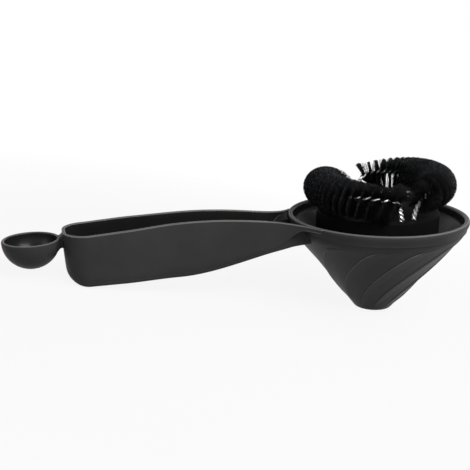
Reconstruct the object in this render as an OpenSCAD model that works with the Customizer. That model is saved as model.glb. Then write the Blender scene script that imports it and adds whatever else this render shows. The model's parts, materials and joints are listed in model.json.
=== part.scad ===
// Group head brush for an espresso machine. A splash funnel, a trough handle and a dosing
// spoon are one moulding. A round brush holder plugs into the funnel, and two twisted-wire
// brushes, each bent into half a ring, stand in the holder.
// Every piece is drawn upright, with the funnel's axis on Z and the drain foot at Z = 0,
// and laid() then tips it on to the foot's edge and the handle's end, as it lies at rest.

/* [Funnel] */
// Outer radius of the funnel's lip
rim_r = 46.6; // [44:0.1:54]
// Height of the lip above the drain foot
rim_h = 50.6; // [48:0.1:58]
// Width of the rounded lip
lip_w = 2.8; // [2.2:0.1:3.4]
// How far the lip stands out from the band below it
lip_proud = 1.1; // [0.5:0.1:1.4]
// Height of the upright band, lip included
band_h = 6.2; // [5.6:0.1:8]
// Rounding between the band and the cone
shoulder_r = 10; // [4:0.5:10]
// Wall thickness of the cone
cone_wall = 2; // [1.6:0.1:2.6]
// Radius of the foot before its edge is rounded
foot_r = 9.8; // [9:0.1:13]
// Rounding of the foot's edge
foot_edge_r = 0.8; // [0.3:0.1:1.2]
// Radius of the drain hole
drain_r = 6.2; // [5.6:0.1:7]
// Length of the drain hole's straight part
drain_len = 2.5; // [1.5:0.1:4]

/* [Swirl] */
// Number of overlapping petals round the cone
petals = 12; // [8:1:14]
// Height of the step where one petal overlaps the next
petal_step = 0.6; // [0.3:0.05:0.9]
// Angle over which a step fades into its petal
petal_fade = 9; // [5:1:12]
// Turn of a petal's edge for each millimetre of height
petal_turn = 1.38; // [1:0.02:1.8]

/* [Handle] */
// Distance from the funnel's axis to the handle's far end
handle_len = 160.6; // [140:0.2:180]
// Width of the handle at its far end
grip_w = 29.2; // [26:0.2:34]
// Width of the handle at its waist
waist_w = 25; // [22:0.2:28]
// Where the handle starts to widen, from its far end
waist_at = 52; // [44:1:60]
// Where the handle has its full width, from its far end
grip_at = 26; // [20:1:32]
// Rise of the handle's edge above the lip at mid length
arch_h = 5; // [1:0.1:8]
// Depth of the handle below the lip at its far end
grip_depth = 22; // [18:0.2:26]
// Depth of the handle below the lip at the funnel
neck_depth = 11; // [10:0.2:13]
// Rounding of the far end, seen from above
end_corner_r = 10; // [6:0.5:12]
// Rounding of the far end, seen from the side
end_under_r = 9; // [6:0.5:12]
// Rounding along the handle's bottom edges
keel_corner_r = 2.2; // [1.6:0.1:8]
// Radius of the fillet where the handle's walls run into the lip
flare_r = 30; // [22:1:36]
// Wall thickness of the handle
trough_wall = 2.2; // [1.6:0.1:2.8]
// Width of the keel where it meets the funnel
keel_w = 22; // [18:0.5:24]
// Height of the walls where they run into the lip
flare_lip_h = 1.9; // [1.6:0.1:4]

/* [Spoon] */
// Outer radius of the spoon's bowl
spoon_r = 13.1; // [10:0.1:16]
// Wall thickness of the bowl
spoon_wall = 1.5; // [1.1:0.1:2]
// Gap between the bowl and the handle, closed by the neck
spoon_gap = 0.9; // [0.4:0.1:2]
// Width of the neck
spoon_neck_w = 7; // [5:0.5:9]
// Height of the neck
spoon_neck_h = 4.8; // [3.5:0.1:6]

/* [Brush holder] */
// Radius of the holder's deck
deck_r = 31.6; // [30:0.1:34]
// Height of the deck above the lip
deck_rise = 2.2; // [1:0.1:4]
// Thickness of the deck
deck_t = 3; // [2.4:0.1:4]
// Rounding of the deck's upper edge
deck_edge_r = 0.8; // [0.3:0.1:1.2]
// Height of the holder's skirt, deck included
skirt_h = 10.8; // [9:0.1:13]
// Wall thickness of the skirt
skirt_wall = 2; // [1.6:0.1:2.6]
// Radius of the holder's plug
plug_r = 5; // [4:0.1:5.5]
// Length of the plug inside its socket
plug_len = 17; // [12:0.5:20]
// Radial clearance between plug and socket
plug_fit = 0.15; // [0.1:0.01:0.3]
// Wall thickness of the socket
socket_wall = 2.4; // [2:0.1:3]
// Height of the socket's top above the foot
socket_top = 34; // [31:0.5:37]
// Number of webs that carry the socket
webs = 4; // [3:1:6]
// Thickness of a web
web_t = 2; // [1.4:0.1:3]

/* [Wires] */
// Radius of one wire
wire_r = 0.6; // [0.4:0.05:0.7]
// Gap between the two wires of a pair
wire_gap = 0.04; // [0.02:0.01:0.08]
// Radius of the half ring that each pair is bent into
ring_r = 29.2; // [27:0.1:31]
// How far a leg's foot stands inside the ring
leg_inset = 3.6; // [1:0.1:5]
// Angle from a pair's first leg to its last leg
ring_sweep = 163; // [150:1:166]
// Height of the front ring above the deck
front_lift = 11.8; // [11.2:0.1:16]
// Height of the back ring above the deck
back_lift = 15; // [11.2:0.1:17]
// Depth of a leg in the holder
leg_depth = 6.5; // [4:0.1:8]
// Radial clearance round a leg in its hole
leg_fit = 0.26; // [0.2:0.02:0.4]
// Wall round a leg's hole under the deck
boss_wall = 1.9; // [1.2:0.1:2.2]
// Length of one full twist in the legs
leg_twist = 4.6; // [4:0.1:6]
// Length of one full twist where the bristles start
start_twist = 8.6; // [7:0.1:10]
// Length of one full twist in the dense part
dense_twist = 4.8; // [4.4:0.1:7]

/* [Bristles] */
// Bristle length where the brush starts
start_reach = 6; // [4:0.1:8]
// Bristle length in the dense part
full_reach = 9.8; // [8:0.1:10.2]
// Thickness of a row of bristles at its tips
row_tip_t = 0.8; // [0.5:0.05:1]
// Thickness of a row of bristles at its root
row_root_t = 0.3; // [0.2:0.02:0.4]
// Clearance between the wires and the rows
row_fit = 0.25; // [0.15:0.01:0.4]

/* [Hidden] */
$fn = 96;

// Funnel section, in radius and height
band_r = rim_r - lip_proud;
inner_r = rim_r - lip_w;
cone_top = rim_h - band_h;
cone_slope = (band_r - foot_r) / cone_top;
cone_len = sqrt(1 + cone_slope * cone_slope);
cone_tilt = atan(cone_slope);
foot_face_r = foot_r + foot_edge_r * (cone_slope - cone_len);
bead_r = lip_w / 2;
inside_fillet_r = 4;
spout_top = drain_len + 3.5;

// Handle, measured along X towards the spoon
end_x = -handle_len;
waist_half = waist_w / 2;
grip_half = grip_w / 2;
grip_floor = rim_h - grip_depth;
neck_floor = rim_h - neck_depth;
flare_y = waist_half + flare_r;
flare_x = -sqrt(pow(rim_r + flare_r, 2) - flare_y * flare_y);
join_x = flare_x * rim_r / (rim_r + flare_r);
keel_half = keel_w / 2;
edge_bevel = 0.6;
// Station of the flare at which the handle meets the mouth that is moulded on the funnel
mouth_from = 2;
lip_sink = 0.3;
rise_from = end_x + waist_at + 1;
rise_to = join_x - 2;
lift_from = flare_x + 4;
lift_to = lift_from + 11;

// Spoon
spoon_x = end_x - spoon_gap - spoon_r;
spoon_lip_r = spoon_wall / 2;

// Holder, socket and legs
deck_z = rim_h + deck_rise;
socket_r = plug_r + plug_fit + socket_wall;
plug_foot = socket_top - plug_len;
web_foot = plug_foot - 2;
web_top = socket_top - 5;
collar_r = plug_r + 1.8;
pair_r = 2 * wire_r + wire_gap / 2;
leg_hole_r = pair_r + leg_fit;
boss_r = leg_hole_r + boss_wall;
leg_start = -90;
leg_ring_r = ring_r - leg_inset;

// Resting pose: the line under the foot's edge and the handle's rounded end
end_round_x = end_x + end_under_r;
end_round_z = grip_floor + end_under_r;
foot_round_x = -foot_face_r;
rest_dx = foot_round_x - end_round_x;
rest_dz = end_round_z - foot_edge_r;
rest_tilt = atan2(rest_dz, rest_dx)
    - asin((end_under_r - foot_edge_r) / sqrt(rest_dx * rest_dx + rest_dz * rest_dz));
rest_drop = foot_edge_r - foot_edge_r * cos(rest_tilt) - foot_round_x * sin(rest_tilt);
rest_right = (rim_r - bead_r) * cos(rest_tilt) - (rim_h - bead_r) * sin(rest_tilt) + bead_r;
rest_left = (spoon_x - spoon_r + spoon_lip_r) * cos(rest_tilt)
    - (rim_h - spoon_lip_r) * sin(rest_tilt) - spoon_lip_r;
rest_shift = -(rest_left + rest_right) / 2;

function arc(centre, r, from, to, steps) = [
    for (i = [0:steps]) let (a = from + (to - from) * i / steps)
        centre + r * [cos(a), sin(a)]];
function smooth(v, from, to) =
    let (t = max(0, min(1, (v - from) / (to - from)))) t * t * (3 - 2 * t);
function mix(a, b, t) = a + (b - a) * t;
function unit(v) = v / norm(v);
// Point on a circle of radius r about Z
function round_z(r, a, z) = [r * cos(a), r * sin(a), z];
// What a rounded end of radius r takes off at the distance d from the end
function end_cut(d, r) = d >= r ? 0 : r - sqrt(max(0, r * r - (r - d) * (r - d)));

// Closed solid through rings that all have the same number of points
module loft(rings) {
    n = len(rings[0]);
    m = len(rings);
    polyhedron(
        points = [for (ring = rings) each ring],
        faces = concat(
            [[for (i = [0:n - 1]) i]],
            [[for (i = [0:n - 1]) m * n - 1 - i]],
            [for (k = [0:m - 2], i = [0:n - 1]) let (a = k * n + i, b = k * n + (i + 1) % n)
                each [[b, a, a + n], [b, a + n, b + n]]]));
}

// Funnel

function bead_pts() = let (c = [rim_r - bead_r, rim_h - bead_r])
    arc(c, bead_r, -acos((band_r - c.x) / bead_r), 180, 16);
function outer_pts() = concat(
    arc([foot_face_r, foot_edge_r], foot_edge_r, -90, -cone_tilt, 4),
    arc([band_r - shoulder_r, cone_top + shoulder_r * (cone_len - 1) / cone_slope],
        shoulder_r, -cone_tilt, 0, 8));
// Radius of the cone's surface, set in by a depth measured square to the wall
function cone_r(z, depth) = foot_r + cone_slope * z - depth * cone_len;
function inner_pts() =
    let (corner_z = (inner_r - foot_r + cone_wall * cone_len) / cone_slope)
    concat(
        arc([inner_r - inside_fillet_r,
             corner_z + inside_fillet_r * (cone_len - 1) / cone_slope],
            inside_fillet_r, 0, -cone_tilt, 5),
        [[cone_r(spout_top, cone_wall), spout_top], [drain_r, drain_len], [drain_r, 0]]);

module funnel_shell() {
    rotate_extrude() polygon(concat(outer_pts(), bead_pts(), inner_pts()));
}

// Space inside the funnel, out to the middle of its wall
module funnel_space() {
    mid_r = (band_r + inner_r) / 2;
    mid = cone_wall / 2;
    corner_z = (mid_r - foot_r + mid * cone_len) / cone_slope;
    rotate_extrude() polygon([
        [0, spout_top], [cone_r(spout_top, mid), spout_top],
        [mid_r, corner_z], [mid_r, rim_h + arch_h + 2], [0, rim_h + arch_h + 2]]);
}

// Angle of a petal's edge at a height: a steady sweep that hooks level under the shoulder
function petal_angle(z) =
    let (top = petal_top()) petal_turn * (z - top + 2.4) + 10 * exp((z - top) / 0.9);
function petal_top() = cone_top - shoulder_r * 0.27;
function petal_ring(z, h) =
    let (a = petal_angle(z), r = cone_r(z, 0), up = [1, 0, -cone_slope] / cone_len)
    [for (q = [[0, -0.7], [0, h], [petal_fade, -0.15], [petal_fade / 2, -0.8]])
        let (t = a + q.x, n = [up.x * cos(t), up.x * sin(t), up.z])
            round_z(r, t, z) + q.y * n];

module petal() {
    low = 3;
    high = petal_top();
    heights = [for (i = [0:8]) mix(low, high - 3, i / 8), high - 1.6, high - 0.7, high];
    loft([for (z = heights)
        petal_ring(z, petal_step * min(1, (z - low) / 5) * min(1, 0.15 + (high - z) / 2))]);
}

module socket() {
    intersection() {
        union() {
            cylinder(r = socket_r, h = socket_top);
            for (i = [0:webs - 1]) rotate([0, 0, (i + 0.5) * 360 / webs])
                translate([0, -web_t / 2, 0]) cube([rim_r, web_t, web_top]);
        }
        funnel_space();
        translate([0, 0, web_foot]) cylinder(r = rim_r, h = rim_h);
    }
}

// Handle

// Half the width at the upper edge, with the wall thickness t taken off
function half_w(x, t = 0) =
    let (body = mix(grip_half, waist_half, smooth(x, end_x + grip_at, end_x + waist_at)),
         flare = x < flare_x ? 0 : flare_r - sqrt(max(0, flare_r * flare_r - pow(x - flare_x, 2))),
         in_lip = rim_r - bead_r / 2 - lip_w * smooth(x, join_x + 1.6, join_x + 3.4),
         lip_line = x < join_x - 1 ? rim_r : sqrt(in_lip * in_lip - x * x))
    min(body + flare, lip_line) - t - end_cut(x - end_x - t, end_corner_r - t);
function edge_z(x) = rim_h - lip_sink * smooth(x, flare_x, join_x)
    + arch_h * sin(180 * max(0, min(1, (x - end_x) / (join_x - end_x))));
function floor_z(x, t = 0) =
    mix(grip_floor, neck_floor, smooth(x, rise_from, rise_to)) + t
    + end_cut(x - end_x - t, end_under_r - t);
// The walls' lower edge leaves the keel and climbs to the lip where the walls flare out
function wall_foot_z(x, t = 0) = mix(
    floor_z(x, t) + corner_r(x, t) + 0.6,
    edge_z(x) - flare_lip_h + t / 2,
    smooth(x, lift_from, lift_to + 3));
function corner_r(x, t = 0) =
    max(1, mix(keel_corner_r, 1.8, smooth(x, rise_from, flare_x)) - t);
function keel_half_w(x, t = 0) = mix(
    half_w(x, t) - 0.4, keel_half - t, smooth(x, flare_x, lift_to));

// Closed section: the whole trough at t = 0, or its hollow, which goes on above the edge
function trough_ring(x, t) =
    let (w = half_w(x, t), k = keel_half_w(x, t), f = floor_z(x, t),
         c = min(corner_r(x, t), k - 0.5), s = wall_foot_z(x, t), e = edge_z(x),
         edge = t == 0 ? [[w - edge_bevel, e]] : [[w + edge_bevel, e], [w + edge_bevel, e + 3]],
         half = concat(arc([k - c, f + c], c, -90, 0, 3),
             [[k, s - 0.5 - 0.2 * (w - k)], [w, s], [w, e - edge_bevel]], edge),
         n = len(half))
    concat([for (p = half) [x, p.x, p.y]], [for (i = [n - 1:-1:0]) [x, -half[i].x, half[i].y]]);
// Stations: close together round the far end and along the flare
function flare_at(i) = mix(flare_x - 2, join_x - 1, i / 9);
function grip_stations(t, last) = concat(
    [for (a = [0:15:75]) end_x + t + (end_corner_r - t + 1) * (1 - cos(a))],
    [for (i = [0:11]) mix(end_x + end_corner_r + 2, flare_x - 2, i / 11)],
    [for (i = [1:last]) flare_at(i)]);
function mouth_stations(t, first) = concat(
    [for (i = [first:9]) flare_at(i)], [join_x + 1.6, join_x + 3.4 + t]);
module hollow(outer, inner) {
    difference() {
        loft([for (x = outer) trough_ring(x, 0)]);
        loft([for (x = inner) trough_ring(x, trough_wall)]);
    }
}

module handle() {
    color([0.16, 0.155, 0.16])
        hollow(grip_stations(0, mouth_from),
            concat(grip_stations(trough_wall, mouth_from - 1), [flare_at(mouth_from + 1)]));
}

// Spoon

function bowl_pts() = concat(
    [for (p = arc([0, 0], spoon_r, -90, 0, 16)) [p.x, rim_h - spoon_lip_r + p.y]],
    arc([spoon_r - spoon_lip_r, rim_h - spoon_lip_r], spoon_lip_r, 0, 180, 8),
    [for (p = arc([0, 0], spoon_r - spoon_wall, 0, -90, 16)) [p.x, rim_h - spoon_lip_r + p.y]]);

module spoon() {
    color([0.16, 0.155, 0.16]) union() {
        translate([spoon_x, 0, 0]) rotate_extrude() polygon(bowl_pts());
        difference() {
            translate([spoon_x, -spoon_neck_w / 2, rim_h - spoon_neck_h - 0.2])
                cube([end_x - spoon_x, spoon_neck_w, spoon_neck_h]);
            translate([spoon_x, 0, rim_h - spoon_lip_r]) sphere(r = spoon_r - spoon_wall / 2);
            translate([spoon_x, 0, rim_h - spoon_lip_r])
                cylinder(r = spoon_r - spoon_wall / 2, h = rim_h);
        }
    }
}

// Funnel, with the mouth of the handle's trough

module funnel() {
    color([0.16, 0.155, 0.16]) difference() {
        union() {
            funnel_shell();
            for (i = [0:petals - 1]) rotate([0, 0, (i - 0.1) * 360 / petals]) petal();
            difference() {
                hollow(mouth_stations(0, mouth_from), concat([flare_at(mouth_from - 1)],
                    mouth_stations(trough_wall, mouth_from + 1)));
                funnel_space();
            }
            socket();
        }
        translate([0, 0, web_foot - 1]) cylinder(r = plug_r + plug_fit, h = rim_h);
    }
}

// Brush holder

function holder_pts() = concat(
    [[0, plug_foot], [plug_r - 1, plug_foot], [plug_r, plug_foot + 1], [plug_r, socket_top],
     [collar_r, socket_top], [collar_r, deck_z - deck_t],
     [deck_r - skirt_wall, deck_z - deck_t], [deck_r - skirt_wall, deck_z - skirt_h],
     [deck_r, deck_z - skirt_h]],
    arc([deck_r - deck_edge_r, deck_z - deck_edge_r], deck_edge_r, 0, 90, 5),
    [[0, deck_z]]);

// Places its children at the four leg holes
module at_legs() {
    for (turn = [0, 180], a = [leg_start, leg_start - ring_sweep])
        rotate([0, 0, turn + a]) translate([leg_ring_r, 0, deck_z]) children();
}

module brush_holder() {
    color([0.03, 0.03, 0.035]) difference() {
        union() {
            rotate_extrude() polygon(holder_pts());
            at_legs() translate([0, 0, -leg_depth - 1.5]) cylinder(r = boss_r, h = leg_depth + 1);
        }
        at_legs() translate([0, 0, -leg_depth - 0.5]) cylinder(r = leg_hole_r, h = leg_depth + 1);
    }
}

// Brushes

// Key places of a pair's middle line: share of the sweep, share of the inset to the leg,
// and height as a share of the lift above the deck
ring_keys = [
    [0.02, 0.9, 0.5], [0.035, 0.72, 0.72], [0.07, 0.5, 0.83], [0.12, 0.32, 0.9],
    [0.19, 0.15, 0.96], [0.3, 0.05, 1], [0.42, -0.03, 1], [0.55, -0.05, 0.98],
    [0.67, -0.03, 0.96], [0.78, 0, 0.92], [0.87, 0.1, 0.86], [0.93, 0.35, 0.76],
    [0.965, 0.6, 0.6], [0.985, 0.9, 0.36]];
straight = 0.9;
function key_points(lift) = concat(
    [for (z = [-leg_depth, -leg_depth / 2, straight]) round_z(leg_ring_r, 0, z)],
    [for (k = ring_keys) round_z(ring_r - leg_inset * k[1], -ring_sweep * k[0], lift * k[2])],
    [for (z = [straight, -leg_depth / 2, -leg_depth])
        round_z(leg_ring_r, -ring_sweep, z)]);
function curve(p0, p1, p2, p3, t) = 0.5 * (2 * p1 + (p2 - p0) * t
    + (2 * p0 - 5 * p1 + 4 * p2 - p3) * t * t
    + (3 * p1 - p0 - 3 * p2 + p3) * t * t * t);
function route(lift) = let (k = key_points(lift), n = len(k), steps = 4)
    [for (i = [0:n - 2], j = [0:steps - 1])
        curve(k[max(0, i - 1)], k[i], k[i + 1], k[min(n - 1, i + 2)], j / steps), k[n - 1]];
// Running length at each point of a route
function lengths(pts) = [for (i = 0, s = 0; i < len(pts);
    s = s + (i + 1 < len(pts) ? norm(pts[i + 1] - pts[i]) : 0), i = i + 1) s];
function tables(pts) = let (s = lengths(pts))
    [for (axis = [0:2]) [for (i = [0:len(pts) - 1]) [s[i], pts[i][axis]]]];
function at(t, s) = [lookup(s, t[0]), lookup(s, t[1]), lookup(s, t[2])];
function total(t) = let (last = t[0][len(t[0]) - 1]) last[0];

// Bare length of wire at each end of a pair
function bare(lift) = leg_depth + lift * 0.86;
function twist_len(s, all, lift) =
    let (from = bare(lift), dense = mix(from, all - from, 0.5))
    s < from - 3 || s > all - from ? leg_twist
        : s < from + 2 ? mix(leg_twist, start_twist, (s - from + 3) / 5)
        : mix(start_twist, dense_twist, smooth(s, from + 8, dense));
// Places along the wire, one for each part of a twist
function twist_steps(all, lift, parts) = [
    for (s = 0, i = 0; s < all; s = s + twist_len(s, all, lift) / parts, i = i + 1) [s, i]];
function frame_at(t, s, all) =
    let (e = 0.4, a = max(0, s - e), b = min(all, s + e), along = unit(at(t, b) - at(t, a)),
         p = at(t, s), out = [p.x, p.y, 0],
         side = unit(out - (out * along) * along))
    [p, along, side, cross(along, side)];
function turned(f, a) = f[2] * cos(a) + f[3] * sin(a);

module wire_pair(lift) {
    t = tables(route(lift));
    all = total(t);
    parts = 6;
    places = twist_steps(all, lift, parts);
    offset_r = wire_r + wire_gap / 2;
    for (half = [0, 180])
        loft([for (q = places) let (
            f = frame_at(t, q[0], all), a = half - q[1] * 360 / parts,
            centre = f[0] + offset_r * turned(f, a))
            [for (c = [0:4]) centre + wire_r * turned(f, a + c * 72)]]);
}

// Bristle length: short at the start, full along the ring, a little less over the last leg
function reach(s, from, to) =
    mix(start_reach, full_reach, smooth(s, from - 6, mix(from, to, 0.55)))
    - 1.2 * smooth(s, mix(from, to, 0.8), to);

module bristle_rows(lift) {
    t = tables(route(lift));
    all = total(t);
    parts = 8;
    from = bare(lift) + 1.5;
    to = all - bare(lift) - 0.5;
    places = [for (q = twist_steps(all, lift, parts)) if (q[0] > from && q[0] < to) q];
    root = wire_r + row_fit;
    for (half = [90, 270])
        loft([for (q = places) let (
            f = frame_at(t, q[0], all), d = turned(f, half - q[1] * 360 / parts),
            tip = reach(q[0], from, to))
            [f[0] + tip * d - row_tip_t / 2 * f[1], f[0] + tip * d + row_tip_t / 2 * f[1],
             f[0] + root * d + row_root_t / 2 * f[1], f[0] + root * d - row_root_t / 2 * f[1]]]);
}

// Stands a brush on the deck, the front one as drawn and the back one half a turn round
module on_deck(turn) {
    translate([0, 0, deck_z]) rotate([0, 0, leg_start + turn]) children();
}

module front_wires() { color([0.86, 0.86, 0.84]) on_deck(0) wire_pair(front_lift); }
module back_wires() { color([0.86, 0.86, 0.84]) on_deck(180) wire_pair(back_lift); }
module front_bristles() { color([0.05, 0.05, 0.055]) on_deck(0) bristle_rows(front_lift); }
module back_bristles() { color([0.05, 0.05, 0.055]) on_deck(180) bristle_rows(back_lift); }

// Tips an upright piece into the resting pose, with the middle of the footprint at the origin
module laid() {
    translate([rest_shift, 0, rest_drop]) rotate([0, -rest_tilt, 0]) children();
}

laid() funnel();
laid() handle();
laid() spoon();
laid() brush_holder();
laid() front_wires();
laid() back_wires();
laid() front_bristles();
laid() back_bristles();
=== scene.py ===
import json
from math import atan, atan2, cos, degrees, exp, hypot, pi, radians, sin, sqrt

import bpy
import numpy as np
from mathutils import Matrix, Vector

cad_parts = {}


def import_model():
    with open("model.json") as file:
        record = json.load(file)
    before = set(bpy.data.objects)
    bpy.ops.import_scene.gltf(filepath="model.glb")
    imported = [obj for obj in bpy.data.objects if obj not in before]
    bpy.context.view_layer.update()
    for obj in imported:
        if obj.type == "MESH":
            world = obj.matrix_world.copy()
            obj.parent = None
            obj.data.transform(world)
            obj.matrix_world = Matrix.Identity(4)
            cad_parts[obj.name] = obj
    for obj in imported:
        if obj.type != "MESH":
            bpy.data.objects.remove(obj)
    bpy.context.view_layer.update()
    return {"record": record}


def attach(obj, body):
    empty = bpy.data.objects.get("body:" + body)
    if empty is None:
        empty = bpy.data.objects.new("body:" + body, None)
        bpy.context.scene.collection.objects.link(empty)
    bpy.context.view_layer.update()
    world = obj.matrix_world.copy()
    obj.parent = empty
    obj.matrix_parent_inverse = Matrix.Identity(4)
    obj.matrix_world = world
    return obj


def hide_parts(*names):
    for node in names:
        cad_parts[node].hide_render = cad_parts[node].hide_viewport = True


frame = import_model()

# Sizes in millimetres, in the upright pose: the funnel's axis on Z, its foot at Z = 0 and
# the handle along -X. LAID takes them to the resting pose, in metres. It comes from the
# record's foot mount, which points down at Y = FOOT_MOUNT_Y in the upright pose.
MM = 0.001
foot_mount = next(m for m in frame["record"]["mounts"] if m["name"] == "foot")
FOOT_MOUNT_Y = 7.8
lean, level = foot_mount["axis"][0], -foot_mount["axis"][2]
rest_x, rest_y, rest_z = foot_mount["pos_m"]
LAID = Matrix((
    (level, 0, -lean, rest_x), (0, 1, 0, rest_y - FOOT_MOUNT_Y * MM),
    (lean, 0, level, rest_z), (0, 0, 0, 1))) @ Matrix.Scale(MM, 4)

# Funnel
RIM_R, RIM_H = 46.6, 50.6
LIP_W, LIP_PROUD, BAND_H, BAND_STRAIGHT = 2.8, 1.1, 6.2, 0.6
SHOULDER_R, CONE_WALL, INSIDE_FILLET_R = 10, 2, 4
FOOT_R, FOOT_EDGE_R, DRAIN_R, DRAIN_LEN, DRAIN_BEVEL = 9.8, 0.8, 6.2, 2.5, 0.3
BAND_R, INNER_R = RIM_R - LIP_PROUD, RIM_R - LIP_W
CONE_TOP = RIM_H - BAND_H
SLOPE = (BAND_R - FOOT_R) / CONE_TOP
CONE_LEN = hypot(1, SLOPE)
CONE_TILT = atan(SLOPE)
BEAD_R = LIP_W / 2
FOOT_FACE_R = FOOT_R + FOOT_EDGE_R * (SLOPE - CONE_LEN)
SPOUT_TOP = DRAIN_LEN + 3.5

# Petals, whose angles are in degrees
PETALS, PETAL_STEP, PETAL_TURN = 12, 0.6, 1.38
PETAL_LOW, PETAL_TOP = 3, CONE_TOP - SHOULDER_R * 0.27
PETAL_SPAN, PETAL_PHASE, PETAL_LEAD = 360 / PETALS, -3, 2.4
HOOK_TURN, HOOK_H, HOOK_ZONE = 10, 0.9, 3.2
STEP_FROM, STEP_TO, PETAL_FALL_FROM, PETAL_FALL_TO = -0.35, 0.3, -3, 12.5
PETAL_FOOT_FADE, PETAL_TOP_FADE, PETAL_TOP_SHARE = 5, 2, 0.12

# Handle
END_X = -160.6
GRIP_HALF, WAIST_HALF = 14.3, 12.2
WAIST_AT, GRIP_AT, ARCH_H, END_RISE = 52, 26, 5.4, 2.0
GRIP_FLOOR, NECK_FLOOR = RIM_H - 21.85, RIM_H - 11
END_RISE_SHARE, END_RISE_POWER, ARCH_FALL_POWER = 0.33, 1.5, 1.25
END_CORNER_R, END_UNDER_R, KEEL_CORNER_R, NECK_CORNER_R, FLARE_R = 11, 9, 2.2, 1.8, 30
TROUGH_WALL, KEEL_HALF, FLARE_LIP_H, LIP_SINK, FOOT_SEAM = 2.2, 11, 1.9, 0.3, 0.6
TROUGH_RIM_EDGE_R, CURL_R, END_THINNER = 0.42, 0.35, 0.3
WALL_DRAFT, NECK_DRAFT, KEEL_SEAM, DRAFT_FADES_AT = 0.9, 0.4, 0.05, -110
FLARE_X = -sqrt((RIM_R + FLARE_R) ** 2 - (WAIST_HALF + FLARE_R) ** 2)
JOIN_X = FLARE_X * RIM_R / (RIM_R + FLARE_R)
TUCK_FROM, TUCK_TO = JOIN_X + 1.6, JOIN_X + 3.4
RISE_FROM, RISE_TO = END_X + WAIST_AT + 1, JOIN_X - 2
LIFT_FROM = FLARE_X + 4
LIFT_TO = LIFT_FROM + 11
END_CENTRE_X = END_X + END_CORNER_R

# Spoon
SPOON_R, SPOON_WALL, SPOON_GAP = 13.1, 1.5, 0.9
SPOON_X = END_X - SPOON_GAP - SPOON_R
NECK_HALF, NECK_H, NECK_EDGE_R = 3.2, 4.8, 0.8
NECK_SPREAD, NECK_DEEPER, NECK_IN_BOWL, NECK_IN_HANDLE = 2.2, 0.8, 1.4, 1.3

# Brush holder, socket and webs
DECK_R, DECK_Z, DECK_T, DECK_EDGE_R = 31.6, RIM_H + 2.2, 3, 0.8
DECK_RIM_W, DECK_DISH, SKIRT_H, SKIRT_WALL = 2.2, 0.25, 10.8, 2
PLUG_R, PLUG_LEN, COLLAR_W, SOCKET_TOP, SOCKET_BEVEL = 5, 17, 1.8, 34, 0.4
SOCKET_BORE, SOCKET_R = PLUG_R + 0.15, PLUG_R + 2.55
AXIS_R = 0.02
PLUG_FOOT = SOCKET_TOP - PLUG_LEN
WEB_FOOT, WEB_TOP, WEB_T, WEBS = PLUG_FOOT - 2, SOCKET_TOP - 5, 2, 4

# Wires and bristles
WIRE_R, WIRE_GAP, RING_R, LEG_INSET, SWEEP = 0.6, 0.04, 29.2, 3.6, 163
FRONT_LIFT, BACK_LIFT, LEG_DEPTH = 11.8, 15, 6.5
LEG_RING_R, LEG_START = RING_R - LEG_INSET, -90
LEG_TWIST, DENSE_TWIST = 5.0, 4.4
START_TWISTS = {"front": 9.0, "back": 7.4}

# Filaments. STARTS holds, for each brush, the share that strays between the rows at the first
# rows, how thickly they stand there, and how far the first ones fan back.
FILAMENTS, FILAMENT_R, TIP_SHARE = 13400, 0.085, 0.8
STARTS = {"front": (0.5, 0.5, 1.5), "back": (0.04, 0.36, 0.3)}
START_UP_REACH, START_DOWN_REACH, FULL_REACH, END_TRIM = 6.2, 12, 9.6, 1.2
END_SPLAY, STRAY_SPREAD, END_SHARE = 1.6, 0.8, 0.45
FIRST_AT, LAST_PAST, THICKEN_AFTER, THICKEN_LEN = 0.6, 2.2, 10, 26
FAN_LEN, SPLAY_LEN, LEG_ROOM, LEG_TRIM, DECK_CLEARANCE = 3.5, 6.5, 4.5, 0.75, 0.2
# How far from the start and from the end of each brush the painted tip highlight weakens, and by
# what share.
DARK_START, DARK_END, DARKER = 14, 12, 0.6
ROW_SPREAD, SLANT_SPREAD, CUT_SPREAD, START_LOOSE, DENSE_STRAY = 0.05, 0.018, 0.08, 2.4, 0.02


def mix(a, b, share):
    return a + (b - a) * share


def smooth(value, start, end):
    t = min(1, max(0, (value - start) / (end - start)))
    return t * t * (3 - 2 * t)


def arc(centre, r, start, end, steps):
    """Points (a, b) on a circle between two angles in degrees."""
    return [(centre[0] + r * cos(radians(mix(start, end, i / steps))),
             centre[1] + r * sin(radians(mix(start, end, i / steps)))) for i in range(steps + 1)]


# Finishes

class Signal:
    """A socket in a finish's node tree, on which Python's operators build Math nodes."""

    def __init__(self, finish, socket):
        self.finish, self.socket = finish, socket

    def _math(self, operation, *values):
        sockets = dict(enumerate(values))
        return self.finish.node("ShaderNodeMath", {"operation": operation}, sockets)

    def __add__(self, other):
        return self._math("ADD", self, other)

    def __sub__(self, other):
        return self._math("SUBTRACT", self, other)

    def __rsub__(self, other):
        return self._math("SUBTRACT", other, self)

    def __mul__(self, other):
        return self._math("MULTIPLY", self, other)

    __radd__, __rmul__ = __add__, __mul__

    def clamped(self):
        return self.finish.node(
            "ShaderNodeMath", {"operation": "ADD", "use_clamp": True}, {0: self, 1: 0.0})


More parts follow.
